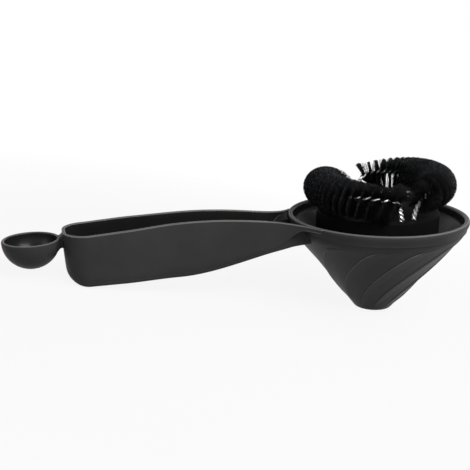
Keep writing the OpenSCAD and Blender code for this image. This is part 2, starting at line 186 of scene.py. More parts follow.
class Finish:
    """A procedural material, or a world: one shader, and the nodes that feed it."""

    def __init__(self, name, world=None):
        self.material = world or bpy.data.materials.new(name)
        self.material.use_nodes = True
        self.tree = self.material.node_tree
        self.tree.nodes.clear()

    def node(self, kind, settings=None, sockets=None, out=0):
        """Adds a node, sets its settings, then its sockets' values or links."""
        node = self.tree.nodes.new(kind)
        for key, value in (settings or {}).items():
            if key == "stops":
                ramp = node.color_ramp.elements
                while len(ramp) < len(value):
                    ramp.new(0.5)
                for element, (place, colour) in zip(ramp, value):
                    element.position, element.color = place, (*colour, 1)
            else:
                setattr(node, key, value)
        for key, value in (sockets or {}).items():
            if isinstance(value, Signal):
                self.tree.links.new(value.socket, node.inputs[key])
            else:
                node.inputs[key].default_value = value
        return Signal(self, node.outputs[out])

    def colour_mix(self, share, first, second):
        """Colour between two colours or colour signals."""
        return self.node("ShaderNodeMix", {"data_type": "RGBA"},
                         {"Factor": share, 6: first, 7: second}, out=2)

    def place(self):
        return self.node("ShaderNodeTexCoord", out="Object")

    def noise(self, scale, detail, rough=0.5):
        return self.node("ShaderNodeTexNoise", {}, {
            "Vector": self.place(), "Scale": scale, "Detail": detail, "Roughness": rough})

    def ramp(self, value, low, high):
        """0 below low, 1 above high, straight between."""
        return self.node("ShaderNodeMapRange", {"clamp": True},
                         {"Value": value, "From Min": low, "From Max": high})

    def bump(self, height, strength, distance):
        return self.node("ShaderNodeBump", {}, {
            "Height": height, "Strength": strength, "Distance": distance})

    def attribute(self, name):
        return self.node("ShaderNodeAttribute", {"attribute_name": name}, out="Fac")

    def shade(self, **sockets):
        """Closes the finish with a Principled shader."""
        names = {key.replace("_", " "): value for key, value in sockets.items()}
        self.surface(self.node("ShaderNodeBsdfPrincipled", {}, names))
        return self.material

    def surface(self, shader, kind="ShaderNodeOutputMaterial"):
        out = self.tree.nodes.new(kind)
        self.tree.links.new(shader.socket, out.inputs["Surface"])


def rgb(red, green, blue):
    return (red, green, blue, 1)


# The second colour is the painted highlight on the mouldings' edges.
WHITE, HIGHLIGHT_PAINT = rgb(1, 1, 1), rgb(0.13, 0.126, 0.13)


def charcoal_moulding():
    """Satin charcoal plastic: a fine spark-eroded grain, flow marks, and painted highlight lines
    along edges.
    """
    f = Finish("charcoal moulding")
    flow = f.noise(38, 3, rough=0.55)
    grain = f.noise(2600, 2, rough=0.6)
    rub = f.attribute("rub")
    colour = f.colour_mix(f.ramp(flow, 0.35, 0.65), rgb(0.0305, 0.029, 0.03),
                          rgb(0.037, 0.0352, 0.0364))
    # Painted highlight: edges, lip lines and petal crests that the lamps would catch are
    # lightened.
    colour = f.colour_mix(rub, colour, HIGHLIGHT_PAINT)
    rough = (0.34 + flow * 0.1 + grain * 0.06 - rub * 0.06).clamped()
    return f.shade(Base_Color=colour, Roughness=rough, Specular_IOR_Level=0.045,
                   Normal=f.bump(grain, 0.12, 0.00005))


def polished_shaded_moulding():
    """The same plastic where the mould was polished, inside the spoon, trough and funnel; its
    darker base colour is painted shade.
    """
    f = Finish("polished moulding with painted shade")
    flow = f.noise(55, 3, rough=0.55)
    rub = f.attribute("rub")
    # Painted shade: a far darker base colour than the charcoal's, for the shade inside the
    # hollows.
    colour = f.colour_mix(flow, rgb(0.0085, 0.008, 0.0078), rgb(0.0125, 0.0118, 0.0115))
    # Painted highlight lines, as on the charcoal.
    colour = f.colour_mix(rub, colour, HIGHLIGHT_PAINT)
    return f.shade(Base_Color=colour, Roughness=(0.26 + flow * 0.12).clamped(),
                   Specular_IOR_Level=0.22, Normal=f.bump(flow, 0.05, 0.0002))


def black_moulding():
    """Smoother black plastic of the brush holder."""
    f = Finish("black moulding")
    cloud, grain = f.noise(60, 3), f.noise(3200, 1)
    colour = f.colour_mix(cloud, rgb(0.004, 0.004, 0.0044), rgb(0.0065, 0.0064, 0.0068))
    return f.shade(Base_Color=colour, Roughness=(0.42 + cloud * 0.1).clamped(),
                   Specular_IOR_Level=0.005, Normal=f.bump(grain, 0.06, 0.00003))


def drawn_steel():
    """Bright drawn wire with faint scratches along it."""
    f = Finish("drawn steel")
    cloud, scratch = f.noise(420, 3), f.noise(5200, 2)
    colour = f.colour_mix(cloud, rgb(0.9, 0.88, 0.86), rgb(0.98, 0.975, 0.96))
    return f.shade(Base_Color=colour, Metallic=0.85,
                   Roughness=(0.25 + scratch * 0.1).clamped(),
                   Normal=f.bump(scratch, 0.08, 0.00002))


def black_filament():
    """Black nylon: tufts a little lighter or darker than the next, and a painted highlight on
    the filaments' tips.
    """
    f = Finish("black nylon filament")
    tuft, patch = f.noise(900, 2), f.noise(120, 2)
    colour = f.colour_mix((tuft * 0.7 + patch * 0.3).clamped(), rgb(0.0015, 0.0015, 0.0018),
                          rgb(0.005, 0.0052, 0.006))
    # Painted highlight: the last part of each filament toward its tip is lightened, as if
    # catching the lamps.
    tip = f.ramp(f.attribute("tip"), 0.84, 1.0)
    colour = f.colour_mix(tip, colour, rgb(0.085, 0.09, 0.098))
    return f.shade(Base_Color=colour, Roughness=(0.42 + patch * 0.2).clamped(),
                   Specular_IOR_Level=0.08)


# Pieces

def piece(name, points, faces, finish, slot, nodes, sharp=40):
    """Makes a mesh piece from upright points in millimetres, lays it down, hangs it on the root
    body and hides the CAD nodes it stands in for.
    """
    points = np.asarray(points, float).reshape(-1, 3)
    mesh = bpy.data.meshes.new(name)
    mesh.from_pydata(points.tolist(), [], faces)
    mesh.transform(LAID)
    mesh.shade_smooth()
    if sharp:
        mesh.set_sharp_from_angle(angle=radians(sharp))
    obj = bpy.data.objects.new(name, mesh)
    bpy.context.collection.objects.link(obj)
    mesh.materials.append(finish)
    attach(obj, "root")
    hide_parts(*nodes)
    return obj


def polish_and_shade(obj, points, faces, inside):
    """Gives the faces whose middle lies inside the hollow the polished finish, whose darker
    colour is painted shade.
    """
    obj.data.materials.append(polished_shaded)
    middles = (np.mean([points[i] for i in face], axis=0) for face in faces)
    obj.data.polygons.foreach_set("material_index", [int(inside(*m)) for m in middles])


def mark(obj, name, values):
    """Gives each point a number from 0 to 1 for the finish to read."""
    obj.data.attributes.new(name, "FLOAT", "POINT").data.foreach_set("value", values)


def grid_faces(rows, columns, wrap_rows=False, wrap_columns=False, start=0):
    """Quads over a grid of points that is stored row by row."""
    faces = []
    for i in range(rows if wrap_rows else rows - 1):
        low, high = start + i * columns, start + (i + 1) % rows * columns
        for j in range(columns if wrap_columns else columns - 1):
            k = (j + 1) % columns
            faces.append((low + j, low + k, high + k, high + j))
    return faces


def merged(points, faces, gap=1e-4):
    """Joins points that lie together and drops the faces that collapse."""
    places, index, kept = {}, [], []
    for p in points:
        key = tuple(int(round(c / gap)) for c in p)
        if key not in places:
            places[key] = len(kept)
            kept.append(p)
        index.append(places[key])
    rings = (tuple(dict.fromkeys(index[i] for i in face)) for face in faces)
    return kept, [ring for ring in rings if len(ring) > 2]


def lathe(profile, columns=160, centre=(0, 0)):
    """Closed surface of revolution of an outline (r, z)."""
    points = [(centre[0] + r * cos(2 * pi * j / columns),
               centre[1] + r * sin(2 * pi * j / columns), z)
              for r, z in profile for j in range(columns)]
    return points, grid_faces(len(profile), columns, True, True)


def cone_r(z, depth=0):
    return FOOT_R + SLOPE * z - depth * CONE_LEN


def petal_angle(z):
    """Angle of a petal's edge: a steady sweep that hooks level under the shoulder."""
    z = min(max(z, PETAL_LOW), PETAL_TOP)
    hook = HOOK_TURN * exp((z - PETAL_TOP) / HOOK_H)
    return PETAL_TURN * (z - PETAL_TOP + PETAL_LEAD) + hook


def petal_fade(z):
    """1 where a petal has its full step, less toward its two ends."""
    top = PETAL_TOP_SHARE + (PETAL_TOP - z) / PETAL_TOP_FADE
    return min(1, (z - PETAL_LOW) / PETAL_FOOT_FADE) * min(1, top)


def petal_relief(turn, z):
    """How far a petal stands out at an angle from its edge, and at a height."""
    if not PETAL_LOW < z < PETAL_TOP:
        return 0
    if turn < STEP_TO:
        return PETAL_STEP * petal_fade(z) * smooth(turn, STEP_FROM, STEP_TO)
    return PETAL_STEP * petal_fade(z) * (1 - smooth(turn, PETAL_FALL_FROM, PETAL_FALL_TO))


def funnel():
    """Cone with its swirl of petals, shoulder, band, rolled lip and inside wall. The columns
    of points follow the petals and stand closest at their edges."""
    turns = [STEP_FROM, -0.12, 0.1, STEP_TO, 0.8, 1.6, 2.8, 4.4, 6.2, 8.2, 10.4, 12.6]
    turns += range(15, 30, 3)
    columns = [p * PETAL_SPAN + t for p in range(PETALS) for t in turns]
    hook_z = PETAL_TOP - HOOK_ZONE
    heights = [PETAL_LOW + i * (hook_z - PETAL_LOW) / 44 for i in range(45)]
    heights += [hook_z + HOOK_ZONE * (i / 18) for i in range(1, 19)]
    foot = arc((FOOT_FACE_R, FOOT_EDGE_R), FOOT_EDGE_R, -90, -CONE_TILT * 180 / pi, 6)
    shoulder = arc((BAND_R - SHOULDER_R, CONE_TOP + SHOULDER_R * (CONE_LEN - 1) / SLOPE),
                   SHOULDER_R, -CONE_TILT * 180 / pi, 0, 18)
    swell_z, bead_z = CONE_TOP + BAND_STRAIGHT, RIM_H - BEAD_R
    swell = [mix(swell_z, bead_z, i / 12) for i in range(12)]
    shoulder += [(BAND_R + LIP_PROUD * smooth(z, swell_z, bead_z), z) for z in swell]
    bead = arc((RIM_R - BEAD_R, bead_z), BEAD_R, 0, 180, 20)
    corner_z = (INNER_R - FOOT_R + CONE_WALL * CONE_LEN) / SLOPE
    fillet_z = corner_z + INSIDE_FILLET_R * (CONE_LEN - 1) / SLOPE
    inside = arc((INNER_R - INSIDE_FILLET_R, fillet_z), INSIDE_FILLET_R, 0,
                 -CONE_TILT * 180 / pi, 8)
    inside += [(cone_r(z, CONE_WALL), z) for z in (34, 28, 22, 16, 11, SPOUT_TOP)]
    inside += [(DRAIN_R, DRAIN_LEN), (DRAIN_R, DRAIN_BEVEL), (DRAIN_R + DRAIN_BEVEL, 0)]
    outline = foot + [(cone_r(z), z) for z in heights] + shoulder + bead + inside
    points = []
    for r, z in outline:
        on_cone = PETAL_LOW <= z <= PETAL_TOP and abs(r - cone_r(z)) < 0.01
        in_spout = r < FOOT_R - 0.2 and z >= 1
        shift = petal_angle(PETAL_LOW if in_spout else z)
        for i, column in enumerate(columns):
            a = radians(column + shift + PETAL_PHASE)
            h = petal_relief(turns[i % len(turns)], z) if on_cone else 0
            across = r + h / CONE_LEN
            points.append((across * cos(a), across * sin(a), z - h * SLOPE / CONE_LEN))
    return points, grid_faces(len(outline), len(columns), True, True)


def end_cut(distance, r):
    """How far a corner of radius r cuts in at a distance from where it begins."""
    return 0 if distance >= r else r - sqrt(max(0, r * r - (r - distance) ** 2))


def half_w(x, t=0):
    """Half width of the trough at a depth t in its wall, at the rim."""
    body = mix(GRIP_HALF, WAIST_HALF, smooth(x, END_X + GRIP_AT, END_X + WAIST_AT))
    reach = x - FLARE_X
    flare = 0 if reach < 0 else FLARE_R - sqrt(max(0, FLARE_R ** 2 - reach ** 2))
    in_lip = RIM_R - BEAD_R / 2 - LIP_W * smooth(x, TUCK_FROM, TUCK_TO)
    lip_line = RIM_R if x < JOIN_X - 1 else sqrt(in_lip ** 2 - x * x)
    return min(body + flare, lip_line) - t


def edge_z(x):
    """Height of the rim: a long arch with a rise at the far end."""
    run = max(0, min(1, (x - END_X) / (JOIN_X - END_X)))
    arch = ARCH_H * sin(pi * run) ** (1 if run < 0.5 else ARCH_FALL_POWER)
    end_rise = END_RISE * max(0, 1 - run / END_RISE_SHARE) ** END_RISE_POWER
    return RIM_H - LIP_SINK * smooth(x, FLARE_X, JOIN_X) + arch + end_rise


def floor_z(x, t=0):
    return mix(GRIP_FLOOR, NECK_FLOOR, smooth(x, RISE_FROM, RISE_TO)) + t


def corner_r(x, t=0):
    return max(1, mix(KEEL_CORNER_R, NECK_CORNER_R, smooth(x, RISE_FROM, FLARE_X)) - t)


def wall_foot_z(x, t=0):
    """Height where the side wall stands on the keel, lifted to a thin lip by the flare."""
    return mix(floor_z(x, t) + corner_r(x, t) + FOOT_SEAM, edge_z(x) - FLARE_LIP_H + t / 2,
               smooth(x, LIFT_FROM, LIFT_TO + 3))


def keel_half_w(x, t=0):
    draft = mix(WALL_DRAFT, NECK_DRAFT, smooth(x, DRAFT_FADES_AT, FLARE_X))
    return mix(half_w(x, t) - draft - KEEL_SEAM, KEEL_HALF - t, smooth(x, FLARE_X, LIFT_TO))


def skin_section(x, t, across_corner=0):
    """Half of one skin of the trough, from the middle of the floor to the wall's top.
    Points are (distance from the wall's outer face, height)."""
    w, k, f = half_w(x, t), keel_half_w(x, t), floor_z(x, t)
    c = min(corner_r(x, t) + across_corner, k - 0.5)
    s = max(wall_foot_z(x, t), f + c + FOOT_SEAM)
    under = s - 0.5 - 0.2 * (w - k)
    draft = WALL_DRAFT * (1 - smooth(x, DRAFT_FADES_AT, FLARE_X))
    foot_w = w - draft
    r = min(CURL_R, 0.6 * (foot_w - k) + 0.01)
    flank = [(k, mix(f + c, under, 0.5)), (k, under)]
    flank += [(foot_w - r, s - 0.5 * r), (foot_w - 0.3 * r, s + 0.3 * r), (foot_w, s + r)]
    top = edge_z(x) - TROUGH_RIM_EDGE_R
    wall = [(w - draft * (1 - i / 8) ** 2, mix(s + r, top, i / 8)) for i in range(1, 9)]
    return [(k - c) * 0.5, f], [(k - c, f)] + arc((k - c, f + c), c, -80, 0, 7) + flank + wall


def trough_section(x, across_corner=0):
    """Half a section through both skins, from the outer spine over the edge to the inner one."""
    mid_out, outer = skin_section(x, 0, across_corner)
    mid_in, inner = skin_section(x, TROUGH_WALL, across_corner)
    w, e, r = half_w(x), edge_z(x), TROUGH_RIM_EDGE_R
    top = arc((w - r, e - r), r, 15, 90, 5)
    inner_top = arc((inner[-1][0] + r, e - r), r, 90, 165, 5)
    return ([(0, mid_out[1]), mid_out] + outer + top + inner_top
            + inner[::-1] + [mid_in, (0, mid_in[1])])


def trough():
    """The handle: an open trough with a rounded far end and walls that flare into the lip."""
    straight = [mix(TUCK_TO, FLARE_X, i / 26) for i in range(27)]
    straight += [mix(FLARE_X, END_CENTRE_X, i / 60) for i in range(1, 61)]
    rows = [[(x, y, z) for y, z in trough_section(x)] for x in straight]
    half_flat = GRIP_HALF - END_CORNER_R
    side_w = half_w(END_CENTRE_X)
    for i in range(1, 13):
        a = radians(90 * i / 12)
        round_end = smooth(i, 0, 12)
        row = []
        for y, z in trough_section(END_CENTRE_X, (END_UNDER_R - KEEL_CORNER_R) * round_end):
            depth = side_w - y
            out = END_CORNER_R - depth + END_THINNER * min(depth, TROUGH_WALL) * round_end
            if out < 0:
                row.append((END_CENTRE_X, y, z))
            else:
                row.append((END_CENTRE_X - out * sin(a), half_flat + out * cos(a), z))
        rows.append(row)
    last = rows[-1]
    for share in (0.6, 0.2):
        rows.append([(x, y * share, z) for x, y, z in last])
    rows += [[(x, -y, z) for x, y, z in row] for row in reversed(rows)]
    width = len(last)
    points = [p for row in rows for p in row]
    faces = grid_faces(len(rows), width)
    for base in (0, (len(rows) - 1) * width):
        ends = [base + j for j in range(width)]
        half = width // 2
        faces += [(ends[j], ends[j + 1], ends[width - 2 - j], ends[width - 1 - j])
                  for j in range(half - 1)]
    points = [in_funnel_wall(p) for p in points]
    return merged(points, faces)


def in_funnel_wall(p):
    """Moves a point of the trough that would stand inside the funnel back into its wall."""
    x, y, z = p
    limit = min((BAND_R + INNER_R) / 2, cone_r(z, CONE_WALL / 2))
    return p if hypot(x, y) >= limit else (-sqrt(limit ** 2 - y * y), y, z)


def spoon_bowl():
    """Half-round bowl with a rounded rim."""
    lip_r = SPOON_WALL / 2
    z0 = RIM_H - lip_r
    outline = [(r, z0 + z) for r, z in arc((0, 0), SPOON_R, -89.9, 0, 26)]
    outline += arc((SPOON_R - lip_r, z0), lip_r, 15, 165, 10)
    outline += [(r, z0 + z) for r, z in arc((0, 0), SPOON_R - SPOON_WALL, 0, -89.9, 26)]
    return lathe(outline, 120, (SPOON_X, 0))


def spoon_neck():
    """Short bridge between the bowl's rim and the handle's end, waisted in plan. Points that
    would stand in the bowl move out to the middle of its wall."""
    steps, r, shell = 12, NECK_EDGE_R, SPOON_R - SPOON_WALL / 2
    points = []
    for i in range(steps + 1):
        u = i / steps
        spread = (2 * u - 1) ** 2
        x = mix(SPOON_X + SPOON_R - NECK_IN_BOWL, END_X + NECK_IN_HANDLE, u)
        w = NECK_HALF + NECK_SPREAD * spread
        top = mix(RIM_H - 0.08, edge_z(END_CENTRE_X) - 0.5, smooth(u, 0.1, 1))
        low = RIM_H - NECK_H - NECK_DEEPER * spread
        ring = arc((w - r, top - r), r, 0, 90, 4) + arc((-w + r, top - r), r, 90, 180, 4)
        ring += arc((-w + r, low + r), r, 180, 270, 4) + arc((w - r, low + r), r, 270, 360, 4)
        for y, z in ring:
            off = hypot(y, max(0, RIM_H - SPOON_WALL / 2 - z))
            in_wall = SPOON_X + sqrt(max(0, shell ** 2 - min(off, shell) ** 2))
            points.append((max(x, in_wall), y, z))
    width = len(ring)
    faces = grid_faces(steps + 1, width, False, True)
    faces += [tuple(range(width - 1, -1, -1)), tuple(range(steps * width, len(points)))]
    return points, faces


def socket_tube():
    """Socket that the holder's plug stands in."""
    low, b = WEB_FOOT, SOCKET_BEVEL
    outline = [(SOCKET_BORE, low), (SOCKET_R - b, low), (SOCKET_R, low + b)]
    outline += [(SOCKET_R, SOCKET_TOP - b), (SOCKET_R - b, SOCKET_TOP)]
    outline += [(SOCKET_BORE + 0.3, SOCKET_TOP), (SOCKET_BORE, SOCKET_TOP - 0.3)]
    return lathe(outline, 72)


def socket_webs():
    """Plates that join the socket to the cone's inside wall."""
    points, faces = [], []
    root, tip = SOCKET_R - 0.6, CONE_WALL / 2
    plate = [(root, WEB_FOOT), (cone_r(WEB_FOOT, tip), WEB_FOOT),
             (cone_r(WEB_TOP, tip), WEB_TOP), (root, WEB_TOP)]
    for i in range(WEBS):
        a = radians((i + 0.5) * 360 / WEBS)
        start = len(points)
        for side in (-WEB_T / 2, WEB_T / 2):
            points += [(r * cos(a) - side * sin(a), r * sin(a) + side * cos(a), z)
                       for r, z in plate]
        faces += [tuple(start + j for j in (3, 2, 1, 0)), tuple(start + j for j in (4, 5, 6, 7))]
        faces += [(start + j, start + (j + 1) % 4, start + 4 + (j + 1) % 4, start + 4 + j)
                  for j in range(4)]
    return points, faces


def in_trough(x, y, z):
    """Whether a point of the trough is on its inner skin."""
    height = z - floor_z(x)
    if x < FLARE_X and z > edge_z(max(x, END_CENTRE_X)) - 0.02:
        return True
    if x < END_CENTRE_X:
        ahead = END_CENTRE_X - x
        across = max(0, abs(y) - GRIP_HALF + END_CORNER_R)
        under_r = mix(KEEL_CORNER_R, END_UNDER_R, smooth(atan2(ahead, across), 0, pi / 2))
        reach = END_CORNER_R - TROUGH_WALL / 2 - end_cut(height, under_r)
        return hypot(ahead, across) < reach and height > 1
    w, k, t = half_w(x), keel_half_w(x), TROUGH_WALL * 0.6
    shelf = wall_foot_z(x) + 0.4 - 0.1 * (w - k)
    if abs(y) < w - t and shelf < z < edge_z(x) - 0.25:
        return True
    return abs(y) < k - t and height > 1


def in_funnel(x, y, z):
    """Whether a point of the funnel is on its inside wall, above the spout."""
    return hypot(x, y) < min(INNER_R + 0.3, cone_r(z, CONE_WALL * 0.6)) and z > 3


def in_spoon(x, y, z):
    """Whether a point of the bowl is on its inner face."""
    return hypot(x - SPOON_X, y, z - RIM_H + SPOON_WALL / 2) < SPOON_R - SPOON_WALL * 0.7


def trough_highlight_lines(x, y, z):
    """Painted highlight lines along both edges of the rim and along the lower edge of the flared
    wall.
    """
    depth = edge_z(max(x, END_CENTRE_X)) - z
    if depth < 0.36:
        return 0 if depth < 0.01 else 0.85
    on_foot = abs(z - wall_foot_z(x)) < 0.3 and abs(y) > half_w(x) - 0.6
    return 0.55 * smooth(x, LIFT_FROM, LIFT_TO) if on_foot else 0


def funnel_highlight_lines(x, y, z):
    """Painted highlight lines along the lip's edges and along the petals' edges."""
    proud = hypot(x, y) - cone_r(z)
    if PETAL_LOW < z < PETAL_TOP and proud > -0.2:
        base_z = z + proud * SLOPE / CONE_LEN ** 2
        turn = degrees(atan2(y, x)) - petal_angle(base_z) - PETAL_PHASE
        turn = (turn + PETAL_SPAN / 2) % PETAL_SPAN - PETAL_SPAN / 2
        on_crest = -0.2 < turn < 0.5
        return 0.65 * petal_relief(STEP_TO, base_z) / PETAL_STEP if on_crest else 0
    depth = RIM_H - z
    return 0.1 if depth < 0.04 else 0.75 if depth < 0.42 else 0


def spoon_highlight_lines(x, y, z):
    """A painted highlight line along the top of the bowl's rim."""
    return 0.7 if z > RIM_H - 0.22 else 0


def holder():
    """Round deck with a skirt below it and a plug in the middle."""
    under, skirt_z, dish_z = DECK_Z - DECK_T, DECK_Z - SKIRT_H, DECK_Z - DECK_DISH
    collar_r, inner_r = PLUG_R + COLLAR_W, DECK_R - SKIRT_WALL
    outline = [(AXIS_R, PLUG_FOOT), (PLUG_R - 1, PLUG_FOOT), (PLUG_R, PLUG_FOOT + 1)]
    outline += [(PLUG_R, SOCKET_TOP), (collar_r, SOCKET_TOP + 0.02), (collar_r, under)]
    outline += [(inner_r, under), (inner_r, skirt_z), (DECK_R - 0.3, skirt_z)]
    outline += [(DECK_R, skirt_z + 0.3)]
    outline += arc((DECK_R - DECK_EDGE_R, DECK_Z - DECK_EDGE_R), DECK_EDGE_R, 0, 90, 8)
    outline += [(DECK_R - DECK_RIM_W, DECK_Z), (DECK_R - DECK_RIM_W - 0.3, dish_z)]
    outline += [(AXIS_R, dish_z)]
    return lathe(outline, 180)


# Brushes

# Places along the half ring: share of the sweep, how far in toward the legs, share of the lift
RING_KEYS = [
    (0.02, 0.9, 0.5), (0.035, 0.72, 0.72), (0.07, 0.5, 0.83), (0.12, 0.32, 0.9),
    (0.19, 0.15, 0.96), (0.3, 0.05, 1), (0.42, -0.03, 1), (0.55, -0.05, 0.98),
    (0.67, -0.03, 0.96), (0.78, 0, 0.92), (0.87, 0.1, 0.86), (0.93, 0.35, 0.76),
    (0.965, 0.6, 0.6), (0.985, 0.9, 0.36)]


class Route:
    """Middle line of a pair of wires: foot, leg, half a ring, leg, foot."""

    def __init__(self, lift, turn, start_twist):
        self.lift, self.start_twist = lift, start_twist
        start = [(LEG_RING_R, 0, z) for z in (-LEG_DEPTH, -LEG_DEPTH / 2, 0.9)]
        ring = [(RING_R - LEG_INSET * inset, -SWEEP * share, lift * height)
                for share, inset, height in RING_KEYS]
        end = [(LEG_RING_R, -SWEEP, z) for z in (0.9, -LEG_DEPTH / 2, -LEG_DEPTH)]
        keys = []
        for r, a, z in start + ring + end:
            a = radians(a + LEG_START + turn)
            keys.append((r * cos(a), r * sin(a), z + DECK_Z))
        keys = np.array(keys)
        steps = 40
        t = np.linspace(0, 1, steps, endpoint=False)[:, None]
        line = []
        for i in range(len(keys) - 1):
            p0, p1, p2 = keys[max(0, i - 1)], keys[i], keys[i + 1]
            p3 = keys[min(len(keys) - 1, i + 2)]
            line.append(0.5 * (2 * p1 + (p2 - p0) * t + (2 * p0 - 5 * p1 + 4 * p2 - p3) * t ** 2
                               + (3 * p1 - p0 - 3 * p2 + p3) * t ** 3))
        line.append(keys[-1:])
        self.line = np.vstack(line)
        gaps = np.linalg.norm(np.diff(self.line, axis=0), axis=1)
        self.run = np.concatenate([[0], np.cumsum(gaps)])
        self.length = self.run[-1]
        self.bare = LEG_DEPTH + lift * 0.86
        fine = np.linspace(0, self.length, 6000)
        pitch = np.array([self.pitch(s) for s in fine])
        turned = np.cumsum(360 / pitch) * (fine[1] - fine[0])
        self.fine, self.turned = fine, turned - turned[0]

    def pitch(self, s):
        """Length of one full twist."""
        if s < self.bare - 3 or s > self.length - self.bare:
            return LEG_TWIST
        if s < self.bare + 2:
            return mix(LEG_TWIST, self.start_twist, (s - self.bare + 3) / 5)
        dense = mix(self.bare, self.length - self.bare, 0.5)
        return mix(self.start_twist, DENSE_TWIST, smooth(s, self.bare + 8, dense))

    def at(self, s):
        return np.stack([np.interp(s, self.run, self.line[:, k]) for k in range(3)], -1)

    def frames(self, s):
        """Place, direction along the wire, and two directions across it, for many places."""
        s = np.asarray(s, float)
        place = self.at(s)
        ahead = self.at(np.minimum(s + 0.4, self.length))
        along = ahead - self.at(np.maximum(s - 0.4, 0))
        along /= np.linalg.norm(along, axis=1)[:, None]
        out = place * (1, 1, 0)
        out -= (out * along).sum(1)[:, None] * along
        out /= np.linalg.norm(out, axis=1)[:, None]
        return place, along, out, np.cross(along, out)

    def phase(self, s):
        return -np.radians(np.interp(s, self.fine, self.turned))


def strands(route):
    """Two round wires twisted round each other."""
    sides, per_twist = 12, 26
    count = int(route.turned[-1] / 360 * per_twist)
    s = np.interp(np.linspace(0, route.turned[-1], count), route.turned, route.fine)
    place, _, out, up = route.frames(s)
    offset = WIRE_R + WIRE_GAP / 2
    points, faces = [], []
    for half in (0, pi):
        a = half + route.phase(s)
        toward = out * np.cos(a)[:, None] + up * np.sin(a)[:, None]
        centre = place + offset * toward
        path = np.gradient(centre, axis=0)
        path /= np.linalg.norm(path, axis=1)[:, None]
        first = toward - (toward * path).sum(1)[:, None] * path
        first /= np.linalg.norm(first, axis=1)[:, None]
        second = np.cross(path, first)
        start = len(points)
        around = np.arange(sides) * 2 * pi / sides
        ring = (centre[:, None] + WIRE_R * (np.cos(around)[None, :, None] * first[:, None]
                + np.sin(around)[None, :, None] * second[:, None]))
        points += ring.reshape(-1, 3).tolist()
        faces += grid_faces(count, sides, False, True, start)
        last = start + (count - 1) * sides
        faces += [tuple(range(start + sides - 1, start - 1, -1)),
                  tuple(range(last, last + sides))]
    return points, faces


def ease(value):
    """Smooth step from 0 to 1 for arrays."""
    t = np.clip(value, 0, 1)
    return t * t * (3 - 2 * t)


def filaments(route, seed, stray, start_share, fan):
    """Nylon filaments held between the two wires, each cut to length on both sides. Returns
    their points and faces, and how strongly each point shows the painted tip highlight."""
    rng = np.random.default_rng(seed)
    start, end = route.bare + FIRST_AT, route.length - route.bare + LAST_PAST

    def near_start(s, length):
        return ease((start + length - s) / length)

    def near_end(s, length):
        return ease((s - end + length) / length)

    fine = np.linspace(start, end, 800)
    thick = mix(start_share, 1, ease((fine - start - THICKEN_AFTER) / THICKEN_LEN))
    thick *= mix(1, END_SHARE, near_end(fine, 7)) * (1 + fan * near_start(fine, 4))
    total = np.cumsum(thick)
    s = np.interp(rng.random(FILAMENTS) * total[-1], total, fine)
    place, along, out, up = route.frames(s)
    grown = ease((s - start + 6) / (0.55 * (end - start) + 6))
    trim = END_TRIM * near_end(s, 0.2 * (end - start))
    splay = END_SPLAY * near_end(s, SPLAY_LEN)
    loose = mix(START_LOOSE, 1, ease((s - start) / 30)) + splay * 4
    splay -= fan * near_start(s, FAN_LEN)
    strays = rng.random(FILAMENTS) < mix(stray, DENSE_STRAY, ease((s - start - 4) / 26))
    points, light = [], []
    for half in (pi / 2, 3 * pi / 2):
        a = half + route.phase(s) + rng.normal(0, ROW_SPREAD, FILAMENTS) * loose
        a = np.where(strays, half + rng.uniform(-STRAY_SPREAD, STRAY_SPREAD, FILAMENTS), a)
        slant = rng.normal(0, SLANT_SPREAD, FILAMENTS) * loose
        slant += splay * rng.uniform(0, 1, FILAMENTS)
        radial = out * np.cos(a)[:, None] + up * np.sin(a)[:, None] + along * slant[:, None]
        radial /= np.linalg.norm(radial, axis=1)[:, None]
        side = np.cross(along, radial)
        side /= np.linalg.norm(side, axis=1)[:, None]
        rise = radial[:, 2]
        low = np.clip(-rise * 1.3 + 0.3, 0, 1)
        reach = mix(mix(START_UP_REACH, START_DOWN_REACH, low), FULL_REACH, grown) - trim
        near_leg = near_start(s, LEG_ROOM) * np.clip(-rise * 2, 0, 1)
        reach += (1 + 2 * fan) * near_start(s, 5) * np.clip(rise * 2, 0, 1)
        reach *= (1 - CUT_SPREAD * rng.random(FILAMENTS) ** 2) * (1 - LEG_TRIM * near_leg)
        tip = place + radial * reach[:, None]
        over_deck = np.hypot(tip[:, 0], tip[:, 1]) < DECK_R + DECK_CLEARANCE
        over_deck &= tip[:, 2] < DECK_Z + DECK_CLEARANCE
        room = (place[:, 2] - DECK_Z - DECK_CLEARANCE) / np.maximum(-rise, 0.05)
        reach = np.where(over_deck, np.clip(room, 0.8, reach), reach)
        rings = []
        for share, width in ((0.03, 1), (1, TIP_SHARE)):
            centre = place + radial * (reach * share)[:, None]
            for b in (0, 2 * pi / 3, 4 * pi / 3):
                rings.append(centre + FILAMENT_R * width * (cos(b) * along + sin(b) * side))
        points.append(np.stack(rings, 1).reshape(-1, 3))
        # Painted highlight on the tips: random per filament, weaker near both ends of the brush,
        # none at the roots.
        tone = rng.random(FILAMENTS) ** 0.5 * (1 - DARKER * near_end(s, DARK_END))
        tone *= 1 - DARKER * near_start(s, DARK_START)
        light.append(np.repeat(np.stack([tone * 0, tone], 1), 3, 1).reshape(-1))
    index = np.arange(2 * FILAMENTS)[:, None] * 6
    sides = [index + np.array([k, (k + 1) % 3, 3 + (k + 1) % 3, 3 + k]) for k in range(3)]
    tips = index + np.array([3, 4, 5])
    return np.vstack(points), np.vstack(sides).tolist() + tips.tolist(), np.concatenate(light)


# The object

charcoal, black, polished_shaded = charcoal_moulding(), black_moulding(), polished_shaded_moulding()
steel, nylon = drawn_steel(), black_filament()

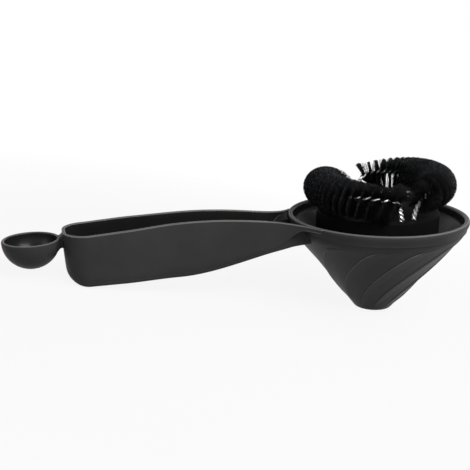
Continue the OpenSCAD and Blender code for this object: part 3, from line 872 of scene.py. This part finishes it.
for name, make, inside, highlight_lines, nodes, sharp in (
        ("funnel", funnel, in_funnel, funnel_highlight_lines, ["funnel"], 30),
        ("trough_handle", trough, in_trough, trough_highlight_lines, ["handle", "funnel"], 42),
        ("spoon_bowl", spoon_bowl, in_spoon, spoon_highlight_lines, ["spoon"], 40)):
    points, faces = make()
    moulded = piece(name, points, faces, charcoal, "body", nodes, sharp)
    # The hollows get the polished finish and its painted shade; every point gets the strength of
    # its painted highlight.
    polish_and_shade(moulded, points, faces, inside)
    mark(moulded, "rub", [highlight_lines(*p) for p in points])
piece("spoon_neck", *spoon_neck(), charcoal, "body", ["spoon"])
piece("plug_socket", *socket_tube(), charcoal, "body", ["funnel"])
piece("socket_webs", *socket_webs(), charcoal, "body", ["funnel"])
piece("holder", *holder(), black, "holder", ["brush_holder"], 35)
for name, lift, turn, seed in (("front", FRONT_LIFT, 0, 3), ("back", BACK_LIFT, 180, 5)):
    route = Route(lift, turn, START_TWISTS[name])
    piece(f"{name}_twisted_wires", *strands(route), steel, "wire", [f"{name}_wires"], 0)
    points, faces, light = filaments(route, seed, *STARTS[name])
    brush = piece(f"{name}_filaments", points, faces, nylon, "bristle", [f"{name}_bristles"], 0)
    # The filaments carry the strength of their painted tip highlight.
    mark(brush, "tip", light)


# Stage, lamps and camera

def shown_ray(f):
    """1 on the rays that see the background: the camera's, and those off gloss and glass."""
    camera_ray, glossy_ray, glass_ray = (
        f.node("ShaderNodeLightPath", out=kind)
        for kind in ("Is Camera Ray", "Is Glossy Ray", "Is Transmission Ray"))
    return (camera_ray + glossy_ray + glass_ray).clamped()


def floor():
    """Pale floor that shows white, with a faint soft shadow near the object."""
    f = Finish("pale floor")
    diffuse = f.node("ShaderNodeBsdfDiffuse", {}, {"Color": rgb(0.4, 0.4, 0.4)})
    white = f.node("ShaderNodeEmission", {}, {"Color": WHITE, "Strength": 1.0})
    away = f.node("ShaderNodeVectorMath", {"operation": "LENGTH"}, {0: f.place()}, "Value")
    share = 0.9 + f.ramp(away, 0.16, 0.4) * 0.1
    f.surface(f.node("ShaderNodeMixShader", {}, {0: shown_ray(f) * share, 1: diffuse, 2: white}))
    mesh = bpy.data.meshes.new("floor")
    half = 3.0
    mesh.from_pydata([(-half, -half, 0), (half, -half, 0), (half, half, 0), (-half, half, 0)],
                     [], [(0, 1, 2, 3)])
    mesh.materials.append(f.material)
    obj = bpy.data.objects.new("floor", mesh)
    bpy.context.collection.objects.link(obj)


def world():
    """White backdrop, darker overhead in reflections, and a soft light that is strongest a
    little above the horizon."""
    studio = bpy.data.worlds.new("studio")
    bpy.context.scene.world = studio
    studio.use_nodes = True
    f = Finish("studio light", studio)
    sky = f.node("ShaderNodeTexCoord", out="Generated")
    height = f.node("ShaderNodeSeparateXYZ", {}, {0: sky}, "Z")
    camera_ray = f.node("ShaderNodeLightPath", out="Is Camera Ray")
    backdrop = 1 - f.ramp(height, 0.25, 0.6) * (1 - camera_ray) * 0.8
    level = 0.26 + f.ramp(height, 0.0, 0.3) * 0.38 - f.ramp(height, 0.3, 0.85) * 0.5
    lit = f.node("ShaderNodeBackground", {}, {"Color": rgb(0.97, 0.985, 1), "Strength": level})
    seen = f.node("ShaderNodeBackground", {}, {"Color": WHITE, "Strength": backdrop})
    blend = f.node("ShaderNodeMixShader", {}, {0: shown_ray(f), 1: lit, 2: seen})
    f.surface(blend, "ShaderNodeOutputWorld")


def lamp(name, place, target, size, power):
    """Soft area lamp; place and target in upright millimetres."""
    data = bpy.data.lights.new(name, "AREA")
    data.shape = "RECTANGLE"
    data.size, data.size_y, data.energy = size[0], size[1], power
    obj = bpy.data.objects.new(name, data)
    bpy.context.collection.objects.link(obj)
    start, end = LAID @ Vector(place), LAID @ Vector(target)
    obj.matrix_world = (Matrix.Translation(start)
                        @ (end - start).to_track_quat("-Z", "Y").to_matrix().to_4x4())


def camera():
    """The photograph's view: fitted in the upright pose, then laid down with the object."""
    azimuth, elevation = radians(-16.325), radians(15.756)
    target, distance = Vector((-77.40, 0, 44.71)), 353.06
    focal_px, photo_px = 712.0, 470
    back = Vector((sin(azimuth) * cos(elevation), -cos(azimuth) * cos(elevation),
                   sin(elevation)))
    right = Vector((cos(azimuth), sin(azimuth), 0))
    up = back.cross(right)
    place = target + distance * back
    data = bpy.data.cameras.new("photo view")
    data.sensor_width = 36
    data.lens = focal_px / photo_px * data.sensor_width
    data.clip_start, data.clip_end = 0.01, 20
    obj = bpy.data.objects.new("photo view", data)
    bpy.context.collection.objects.link(obj)
    turn = Matrix((right, up, back)).transposed()
    laid_turn = (LAID.to_3x3() @ turn).normalized()
    obj.matrix_world = Matrix.Translation(LAID @ place) @ laid_turn.to_4x4()
    bpy.context.scene.camera = obj


floor()
world()
camera()
lamp("key", (150, -420, 500), (-70, 0, 40), (0.5, 0.25), 4.4)
lamp("left", (-700, -160, 260), (-20, 0, 30), (0.3, 0.3), 0.55)
lamp("overhead", (330, -80, 500), (-20, 0, 40), (0.4, 0.2), 1.6)

bpy.context.scene.view_settings.view_transform = "Standard"
